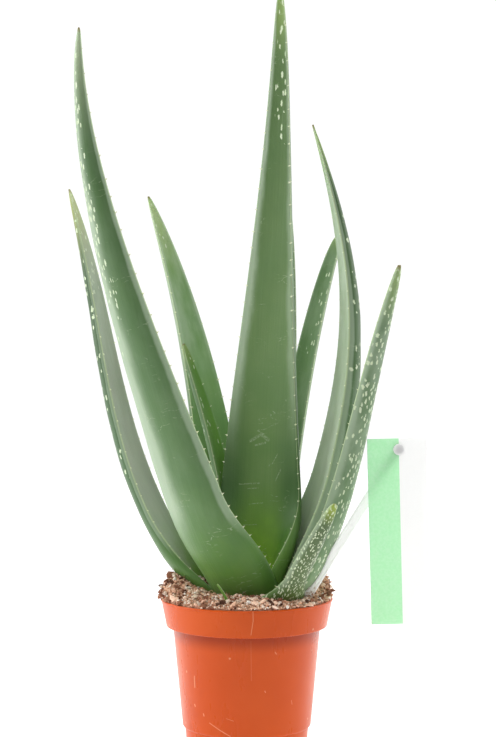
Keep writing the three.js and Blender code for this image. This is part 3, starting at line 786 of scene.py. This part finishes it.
def flesh_colour(skin, look):
    """The greens of the faces, with the foot, painted shade at its margins, the tip and fine
    lengthwise stripes.
    """
    place, t, on_inner = skin.place, skin.t, skin.on_inner
    green = blend(on_inner, look.outer, look.inner)
    patches = ramp(grain(place, 0.035), 0.35, 0.7, 0, 0.5)
    green = blend(patches, green, (1.3, 1.15, 1.25), "MULTIPLY")
    stripes = ramp(skin.stripes, 0.35, 0.7, 0, 0.28)
    green = blend(stripes, green, (0.74, 0.82, 0.72), "MULTIPLY")
    at_base = ramp(t, 0.02, look.base_end, 1, 0) * ramp(on_inner, 0, 1, 0.35, 1)
    uneven = ramp(grain(place, 0.08), 0.3, 0.7, 0.75, 1.1)
    green = blend(at_base * uneven, green, look.base)
    # Painted shade: the foot's inner face is darker towards its margins, where the neighbouring
    # leaves shade it.
    side_shade = ramp(abs(skin.sideways), 0.15, 0.8, 0, look.sides)
    side_shade = side_shade * ramp(t, 0.12, 0.45, 1, 0) * on_inner
    green = blend(side_shade, green, (0.28, 0.42, 0.4), "MULTIPLY")
    green = blend(ramp(t, 0.3, 0.9), green, (0.64, 0.7, 0.62), "MULTIPLY")
    return blend(ramp(t, look.tip_start, 1), green, look.tip)


def leaf_material(name, look):
    material, tree, shader = new_material("skin_" + name)
    skin = skin_signals(tree, name)
    place, t = skin.place, skin.t
    # Real wax on the faces and a painted sheen at the margins make the green paler.
    wax_and_sheen = wax_and_sheen_mask(skin, look)
    green = blend(wax_and_sheen, flesh_colour(skin, look), WAX_AND_SHEEN_COLOUR)
    if look.scuffs:
        green = blend(scuff_mask(place, look.scuffs) * 0.6, green, MARK_COLOUR)
    if look.marks:
        rubbed = line_mask(join(skin.across, skin.along), look.marks)
        rubbed = rubbed * ramp(grain(place, 0.9, 4, 0.7), 0.4, 0.62, 0, 0.6)
        green = blend(rubbed * skin.on_inner, green, MARK_COLOUR)
    if look.flecks:
        green = blend(fleck_mask(skin, look), green, FLECK_COLOUR)

    from_rim = (1 - abs(skin.sideways)) * (abs(skin.across) + 1)
    green = blend(ramp(from_rim, 0.01, 0.09, 0.75, 0), green, MARGIN_COLOUR)
    green = blend(ramp(t, 0.985, 0.998), green, POINT_COLOUR)
    green = blend(ramp(skin.tooth, 0.1, 0.4), green, TOOTH_COLOUR)
    green = blend(ramp(skin.tooth, 0.7, 1), green, TOOTH_TIP_COLOUR)

    bump(shader, grain(place, 0.9) + skin.stripes * 2, 0.25, 0.0004)
    set_inputs(shader, Base_Color=green, Roughness=ramp(wax_and_sheen, 0, 0.6, 0.38, 0.55),
               Sheen_Weight=0.03, Sheen_Roughness=0.35, Sheen_Tint=(0.85, 0.95, 0.85),
               Specular_IOR_Level=0.25, Subsurface_Weight=0.12, Subsurface_Scale=0.004,
               Subsurface_Radius=(0.6, 1, 0.3))
    return material


def make_leaves():
    """All leaves in their order: each gives way to those listed before it. Returns what the
    soil's crumbs keep clear of, as trees in mm, and the cutters for the soil bed."""
    dice = random.Random(23)
    leaves = {name: Values(**{**LEAF_DEFAULTS, **leaf}) for name, leaf in LEAVES.items()}
    points, faces = bevelled(STEM.radius + GAP, STEM.foot - GAP, STEM.top + GAP, STEM.bevel, 48)
    cutters = [loose_object(points + [*CROWN, 0], faces)]
    trees, skins = {}, {}
    for name, leaf in leaves.items():
        old_points, old_faces, *fields = fine_leaf(leaf, dice)
        points, faces = cut_away(old_points, old_faces, cutters)
        skins[name] = [points, faces, *carried_fields(points, old_points, fields)]
        trees[name] = BVHTree.FromPolygons(points.tolist(), faces)
        cutters.append(cutter_of(leaf))
    for name, leaf in leaves.items():
        skin = skins[name]
        if name not in TOOTHLESS:
            others = [tree for other, tree in trees.items() if other != name]
            skin = add_teeth(leaf, skin, others, dice)
        points, faces, blade, share = skin
        look = Values(**{**LEAF_LOOK, **LOOKS.get(name, {})})
        piece = new_piece("fine_" + name, points, faces, leaf_material(name, look),
                          fields={"blade": blade, "share": share})
        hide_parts(name)
    return list(trees.values()), cutters


# ---- Pot


def pot_inside(fit=0):
    """The profile of the pot's inside from its axis up to the ledge, `fit` clear of its wall."""
    p = POT
    ledge = RIM_FOOT + p.wall
    corners = (
        (p.base - p.wall, INSIDE_FLOOR),
        (p.body_foot - p.step - p.wall, p.foot_height - 0.75),
        (p.body_foot - p.wall, p.foot_height + 0.75), (p.shoulder - p.wall, ledge),
        (p.rim_foot + RIM_SLOPE * p.wall - p.wall, ledge))
    return [(0, INSIDE_FLOOR + fit)] + [(radius - fit, height + fit) for radius, height in corners]


def pot_profile():
    p = POT
    below_lip = p.rim - RIM_SLOPE * p.lip - p.lip_proud
    lip = p.height - p.lip
    return [
        (0, 0), (p.channel_inner, 0), (p.channel_inner + 1, p.channel_rise),
        (p.channel_outer - 1, p.channel_rise), (p.channel_outer, 0),
        (p.base - p.round, 0), (p.base, p.round),
        (p.body_foot - p.step, p.foot_height - 1.5), (p.body_foot - 0.3, p.foot_height - 0.3),
        (p.body_foot, p.foot_height + 0.3), (p.shoulder - 0.2, RIM_FOOT - 1.2),
        (p.shoulder + p.round, RIM_FOOT - 0.1), (p.rim_foot - 1.2, RIM_FOOT - 0.1),
        (p.rim_foot - 0.4, RIM_FOOT + 0.1), (p.rim_foot, RIM_FOOT + p.round),
        (below_lip, lip - 0.4), (below_lip + 0.05, lip - 0.1), (p.rim - 0.1, lip + 0.15),
        (p.rim, p.height - 0.7), (p.rim - 0.15, p.height - 0.25), (p.rim - 0.5, p.height),
        (INSIDE + 0.3, p.height), (INSIDE, p.height - 0.3),
    ] + pot_inside()[::-1]


def pot_material():
    material, tree, shader = new_material("terracotta_plastic")
    place = coordinate(tree)
    x, y, z = split(place)
    colour = blend(ramp(grain(place, 18), 0.3, 0.7), (0.55, 0.072, 0.006), (0.6, 0.087, 0.009))
    distance, cell_colour = cells(place, 260, dimensions="3D")
    specks = calc("LESS_THAN", split(cell_colour)[0], 0.02) * ramp(distance, 0.15, 0.3, 1, 0)
    colour = blend(specks * 0.6, colour, (0.78, 0.38, 0.22))
    marks = line_mask(join(calc("DIVIDE", x, MM), calc("DIVIDE", z, MM)), POT_MARKS)
    colour = blend(marks * ramp(y, -0.02, -0.01, 0.75, 0), colour, (0.8, 0.36, 0.2))
    # Painted shadow: the body is darkened right under the rim, where the rim shades it.
    foot = RIM_FOOT * MM
    rim_shadow = ramp(z, foot - 0.013, foot - 0.001) * calc("LESS_THAN", z, foot - 0.0002)
    colour = blend(rim_shadow * 0.9, colour, (0.55, 0.42, 0.4), "MULTIPLY")
    rubbed = grain(stretched(place, 1, 1, 0.25), 55, 5, 0.65)
    bump(shader, grain(place, 420, 2), 0.12, 0.0002)
    set_inputs(shader, Base_Color=colour, Roughness=ramp(rubbed, 0.3, 0.7, 0.25, 0.36),
               Specular_IOR_Level=0.2, Sheen_Weight=0.08, Sheen_Roughness=0.2,
               Sheen_Tint=(1, 0.9, 0.85))
    return material


def make_pot():
    points, faces = lathe(pot_profile(), POT.segments)
    middle = (POT.channel_inner + POT.channel_outer) / 2
    low, high, radius = -INSIDE_FLOOR, 2 * INSIDE_FLOOR, POT.hole_radius
    drill_points, drill_faces = lathe([(0, low), (radius, low), (radius, high), (0, high)], 32)
    drills = []
    for angle in around(POT.holes):
        shift = [middle * math.cos(angle), middle * math.sin(angle), 0]
        drills.append(loose_object(drill_points + shift, drill_faces))
    points, faces = cut_away(points, faces, drills)
    for drill in drills:
        bpy.data.objects.remove(drill)
    piece = new_piece("fine_pot", points, faces, pot_material(), 30)
    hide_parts("pot")


# ---- Soil


def soil_height(x, y):
    away = np.hypot(x, y)
    height = SOIL.level + SOIL.rise * (1 - smooth_rise(SOIL.rise_radius, INSIDE, away))
    for heap_x, heap_y, heap_height, spread in HEAPS:
        share = np.hypot(x - heap_x, y - heap_y) / spread
        height = height + heap_height * np.exp(-share * share)
    return height - SOIL.edge_drop * smooth_rise(INSIDE - SOIL.edge_width, INSIDE, away)


def lumps(x, y, dice):
    """A bumpy surface: a sum of waves in many directions."""
    height = np.zeros_like(x)
    for wave_length, amount in SOIL_WAVES:
        for _ in range(4):
            angle = dice.uniform(0, TURN)
            phase = dice.uniform(0, TURN)
            wave = TURN / wave_length / dice.uniform(0.8, 1.2)
            across = x * math.cos(angle) + y * math.sin(angle)
            height += amount / 2 * np.sin(wave * across + phase)
    return height


def soil_material(name, stops, roughness=0.95, has_tone=True):
    """Browns chosen by each crumb's own tone, or else by a noise, and mottled."""
    material, tree, shader = new_material(name)
    place = coordinate(tree)
    mottle = grain(place, 900, 3, 0.6)
    tone = split(attribute(tree, "tone"))[0] if has_tone else grain(place, 240, 3, 0.7)
    tone = tone + ramp(mottle, 0.2, 0.8, -0.12, 0.12)
    bump(shader, mottle, 0.7, 0.0005)
    set_inputs(shader, Base_Color=colours(tone, stops), Roughness=roughness)
    return material


def make_soil_bed(cutters):
    edge = INSIDE - SOIL.fit - RIM_SLOPE * SOIL.fit
    top = [(edge * share, SOIL.level) for share in np.linspace(1, 0, SOIL.rings)]
    points, faces = lathe(pot_inside(SOIL.fit) + top, SOIL.segments)
    is_top = points[:, 2] > SOIL.level - 0.01
    x, y = points[is_top, 0], points[is_top, 1]
    bumpiness = 0.3 + 0.7 * smooth_rise(0, 4, edge - np.hypot(x, y))
    points[is_top, 2] = soil_height(x, y) + lumps(x, y, random.Random(5)) * bumpiness
    points, faces = cut_away(points, faces, cutters)
    stops = ((0.25, (0.24, 0.11, 0.065)), (0.5, (0.56, 0.32, 0.2)),
             (0.75, (0.82, 0.58, 0.42)))
    material = soil_material("soil_bed", stops, has_tone=False)
    piece = new_piece("fine_soil", points, faces, material, 60)
    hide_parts("soil")


def icosphere():
    """The corners and faces of a small round solid."""
    ball = bmesh.new()
    bmesh.ops.create_icosphere(ball, subdivisions=1, radius=1)
    ball.verts.index_update()
    points = np.array([vertex.co for vertex in ball.verts])
    faces = np.array([[vertex.index for vertex in face.verts] for face in ball.faces])
    ball.free()
    return points, faces


def scatter(count, dice, trees, sizes, close):
    """Places on the soil, clear of the leaves: (x, y, size) in mm."""
    places = []
    low, high = sizes
    while len(places) < count:
        angle = dice.uniform(0, TURN)
        limit = INSIDE + 0.3
        for towards, width in SPILLS:
            share = math.remainder(angle - towards, TURN) / width
            limit += SOIL.spill * math.exp(-share * share)
        away = limit * math.sqrt(dice.uniform(0.05, 1))
        x, y = away * math.cos(angle), away * math.sin(angle)
        size = low + (high - low) * dice.random() ** 2.2
        at = Vector((x, y, float(soil_height(x, y)) + 0.5 * size))
        if all(tree.find_nearest(at)[3] > close * size for tree in trees):
            places.append((x, y, size))
    return places


def soil_piece(name, points, faces, tones, material, smooth_angle):
    """Many small solids as one piece, each with a tone of its own."""
    fields = {"tone": np.stack([np.concatenate(tones)] * 3, 1)}
    new_piece(name, np.concatenate(points), faces, material, smooth_angle, fields)


def make_crumbs(name, kind, trees):
    """Many small irregular solids on the soil, as one piece."""
    dice = random.Random(kind.seed)
    ball, ball_faces = icosphere()
    points, faces, tones = [], [], []
    for index, (x, y, size) in enumerate(scatter(kind.count, dice, trees, kind.sizes, 0.8)):
        lumpy = ball * np.array([dice.uniform(0.7, 1.15) for _ in ball])[:, None]
        lumpy = lumpy * [1, dice.uniform(0.5, 0.95), dice.uniform(*kind.flatness)]
        spin = np.array(Matrix.Rotation(dice.uniform(-0.7, 0.7), 3, "X")
                        @ Matrix.Rotation(dice.uniform(-0.7, 0.7), 3, "Y"))
        spin = np.array(Matrix.Rotation(dice.uniform(0, 6.28), 3, "Z")) @ spin
        at = [x, y, float(soil_height(x, y)) + kind.lift * size + dice.uniform(0, 0.5)]
        if np.hypot(x, y) > INSIDE:
            at[2] += (POT.height + 0.2 * size - at[2]) * dice.random()
        points.append(size * lumpy @ spin.T + at)
        faces.append(ball_faces + index * len(ball))
        tones.append(np.full(len(ball), dice.random()))
    material = soil_material(name, kind.stops, kind.roughness)
    soil_piece("soil_" + name, points, np.concatenate(faces).tolist(), tones, material, 40)


def make_fibres(trees):
    """Thin coir fibres that lie on the soil, a few of them sticking up."""
    dice = random.Random(FIBRES.seed)
    sides, steps = 5, 9
    angles = around(sides)
    limit = POT.rim - 2
    points, faces, tones = [], [], []
    for x, y, length in scatter(FIBRES.count, dice, trees, FIBRES.lengths, 0.1):
        heading = dice.uniform(0, TURN)
        bend = dice.uniform(-1.2, 1.2)
        lift = dice.choice(FIBRES.lifts)
        radius = dice.uniform(*FIBRES.radii)
        place = np.array([x, y])
        first = len(points) * sides
        for share in np.linspace(0, 1, steps):
            heading += bend / steps
            place = place + length / steps * np.array([math.cos(heading), math.sin(heading)])
            if np.hypot(*place) > limit:
                place *= limit / np.hypot(*place)
            height = float(soil_height(*place)) + 0.5 + lift * math.sin(math.pi * share)
            slim = radius * (1 - 0.6 * share)
            side = np.array([-math.sin(heading), math.cos(heading), 0])
            points.append(np.array([*place, height]) + np.outer(np.cos(angles) * slim, side)
                          + np.outer(np.sin(angles) * slim, [0, 0, 1]))
        faces += ring_faces(steps, sides, first)
        faces += [cap(first, sides), cap(first + (steps - 1) * sides, sides, -1)]
        tones.append(np.full(steps * sides, dice.random()))
    soil_piece("soil_fibres", points, faces, tones, soil_material("fibre", FIBRES.stops), 60)


def make_soil(trees, cutters):
    make_soil_bed(cutters)
    for name, kind in CRUMBS.items():
        make_crumbs(name, kind, trees)
    make_fibres(trees)


# ---- Label

MILKY = dict(Subsurface_Weight=1, Subsurface_Scale=0.003, Subsurface_Radius=(1, 1, 1))


def stake_axes():
    """The stake's own axes, right, up along it and front, its foot and its length in mm."""
    foot, head = Vector(LABEL.stake_foot), Vector(LABEL.stake_head)
    up = (head - foot).normalized()
    right = -Vector((0, -1, 0)).cross(up)
    right.normalize()
    axes = Matrix((right, up, right.cross(up))).transposed()
    return np.array(axes), np.array(foot), (head - foot).length


def peg_points(radius, start, end, bevel):
    """A short bevelled cylinder towards the front, at the head of the stake."""
    points, faces = bevelled(radius, start, end, bevel, 40)
    return points[:, [0, 2, 1]] * [1, -1, 1] + LABEL.stake_head, faces


def make_stake():
    axes, foot, length = stake_axes()
    wide, thick, edge = LABEL.stake_width / 2, LABEL.stake_thickness / 2, 0.15
    web = LABEL.web - thick
    tip = -LABEL.buried
    steps = np.concatenate([
        np.linspace(tip, tip + LABEL.point, 8), np.linspace(tip + LABEL.point + 4, length, 30),
        length + wide * np.sin(np.linspace(0.15, math.pi / 2 - 0.12, 8))])
    points = []
    for at in steps:
        half = wide * min(1, 0.16 + 0.84 * (at - tip) / LABEL.point)
        if at > length:
            half = wide * math.cos(math.asin((at - length) / wide))
        rib = min(LABEL.bead, half * 0.4)
        right_side = [(half - edge, -thick), (half, -thick + edge), (half, thick - edge),
                      (half - edge, thick), (half - rib, thick), (half - 1.4 * rib, web)]
        left_side = [(-x, z) for x, z in reversed(right_side)]
        outline = left_side[-2:] + right_side + left_side[:-2]
        points += [axes @ np.array([x, at, z]) + foot for x, z in outline]
    sides = len(outline)
    faces = ring_faces(len(steps), sides)
    faces += [cap(0, sides, -1), cap((len(steps) - 1) * sides, sides)]
    neck = thick + 3 * LABEL.gap + LABEL.thickness
    for radius, start, end in ((LABEL.peg, 0, neck + 0.4),
                               (LABEL.head, neck, neck + LABEL.head_thickness)):
        more, more_faces = peg_points(radius, start, end, 0.25)
        faces += [tuple(int(i) + len(points) for i in face) for face in more_faces]
        points = np.concatenate([points, more])
    piece = new_piece("fine_label_stake", points, faces, stake_material(), 35)
    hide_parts("label_stake")


def stake_material():
    material, tree, shader = new_material("white_plastic")
    place = coordinate(tree)
    near_soil = ramp(split(place)[2], 0.113, 0.13, 1, 0)
    dirt = near_soil * ramp(grain(place, 500, 4, 0.7), 0.42, 0.62)
    bump(shader, grain(place, 300, 2), 0.1, 0.0003)
    set_inputs(shader, Base_Color=blend(dirt, (0.98, 0.98, 0.97), (0.36, 0.22, 0.14)),
               Roughness=ramp(grain(place, 150), 0.3, 0.7, 0.3, 0.42), **MILKY)
    return material


def card_outline():
    """The card's round corners, as seen from the front with the peg at the origin."""
    left, top = -LABEL.from_left, LABEL.from_top
    right, bottom = left + LABEL.width, top - LABEL.height
    corner = LABEL.corner
    outline = []
    for x, y, start in ((right, top, 0), (left, top, 90), (left, bottom, 180),
                        (right, bottom, 270)):
        middle = (x - math.copysign(corner, x), y - math.copysign(corner, y))
        for angle in np.radians(start + 22.5 * np.arange(5)):
            outline.append((middle[0] + corner * math.cos(angle),
                            middle[1] + corner * math.sin(angle)))
    return outline


def make_card():
    """The hanging card: a sheet with rounded corners and a round hole for the peg."""
    hole = [(LABEL.hole * math.cos(angle), LABEL.hole * math.sin(angle)) for angle in around(48)]
    curve = bpy.data.curves.new("card", "CURVE")
    curve.dimensions = "2D"
    curve.fill_mode = "BOTH"
    curve.extrude = (LABEL.thickness / 2 - LABEL.bevel) * MM
    curve.bevel_depth = LABEL.bevel * MM
    curve.bevel_resolution = 2
    for loop in (card_outline(), hole):
        spline = curve.splines.new("POLY")
        spline.points.add(len(loop) - 1)
        for point, (x, y) in zip(spline.points, loop):
            point.co = (x * MM, y * MM, 0, 1)
        spline.use_cyclic_u = True
    flat, faces = taken_shape(put("card", curve))
    tilt = math.radians(LABEL.tilt)
    x = flat[:, 0] * math.cos(tilt) - flat[:, 1] * math.sin(tilt)
    z = flat[:, 0] * math.sin(tilt) + flat[:, 1] * math.cos(tilt)
    drop = LABEL.hole - LABEL.peg - LABEL.gap
    head = LABEL.stake_head
    middle = head[1] - LABEL.stake_thickness / 2 - 1.5 * LABEL.gap - LABEL.thickness / 2
    points = np.stack([head[0] + x, middle - flat[:, 2], head[2] - drop + z], 1)
    piece = new_piece("fine_label_card", points, faces, card_material(), 35,
                      {"card": flat})
    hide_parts("label_card")


def card_material():
    """A pale green half and a white half, both bare."""
    material, tree, shader = new_material("label_card")
    flat = attribute(tree, "card")
    colour = blend(ramp(split(flat)[0], -0.05, 0.05), (0.38, 0.76, 0.42), (0.88, 0.89, 0.87))
    mottle = grain(flat, 0.6, 4)
    colour = blend(ramp(mottle, 0.3, 0.7, 0, 0.1), colour, (0.95, 0.97, 0.95))
    bump(shader, grain(flat, 3, 2), 0.08, 0.0002)
    set_inputs(shader, Base_Color=colour, Roughness=ramp(mottle, 0.3, 0.7, 0.3, 0.4), **MILKY)
    return material


def dress_stem():
    """The hidden core of the rosette keeps its CAD shape."""
    material, tree, shader = new_material("stem_tissue")
    streaks = grain(stretched(coordinate(tree), 1, 1, 0.1), 300)
    colour = colours(streaks, ((0.3, (0.42, 0.46, 0.18)), (0.7, (0.56, 0.6, 0.3))))
    bump(shader, streaks, 0.3, 0.0005)
    set_inputs(shader, Base_Color=colour, Roughness=0.6)
    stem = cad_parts["stem"]
    stem.data.materials.clear()
    stem.data.materials.append(material)


# ---- Studio


def make_camera():
    data = bpy.data.cameras.new("camera")
    data.sensor_width = CAMERA.sensor
    data.lens = CAMERA.focal_px / max(IMAGE_SIZE) * CAMERA.sensor
    data.clip_end = 50
    camera = put("camera", data)
    camera.location = Vector(CAMERA.place) * MM
    camera.rotation_euler = (math.radians(90 + CAMERA.pitch), 0, 0)
    bpy.context.scene.camera = camera


def make_lights():
    for name, (place, size, power) in LIGHTS.items():
        data = bpy.data.lights.new(name, "AREA")
        data.shape = "RECTANGLE"
        data.size, data.size_y = size
        data.energy = power
        lamp = put(name, data)
        lamp.location = place
        lamp.visible_camera = False
        away = Vector(place) - Vector(AIM)
        lamp.rotation_euler = away.to_track_quat("Z", "Y").to_euler()


def make_room():
    world = bpy.data.worlds.new("studio")
    world.use_nodes = True
    background = world.node_tree.nodes["Background"]
    depth = split(coordinate(world.node_tree, "Generated"))[1]
    set_inputs(background, Color=(1, 1, 1), Strength=ramp(depth, *ROOM.fade, ROOM.front, ROOM.back))
    bpy.context.scene.world = world
    bpy.context.scene.view_settings.view_transform = "Standard"


def make_floor():
    radius = FLOOR.radius / MM
    angles = around(96)
    points = np.stack([radius * np.cos(angles), radius * np.sin(angles), np.full(96, -GAP)], 1)
    mesh = new_mesh("floor", points, [cap(0, 96)])
    material, tree, shader = new_material("pale_floor")
    # Painted light: the floor is paler towards the back and glows there.
    at_back = ramp(split(coordinate(tree))[1], *FLOOR.fade)
    set_inputs(shader, Base_Color=blend(at_back, FLOOR.front, FLOOR.back), Roughness=0.9,
               Emission_Color=(1, 1, 1), Emission_Strength=at_back * FLOOR.glow)
    mesh.materials.append(material)
    put("floor", mesh)


make_camera()
make_lights()
make_room()
make_floor()
leaf_trees, leaf_cutters = make_leaves()
make_pot()
make_soil(leaf_trees, leaf_cutters)
for cutter in leaf_cutters:
    bpy.data.objects.remove(cutter)
make_stake()
make_card()
dress_stem()
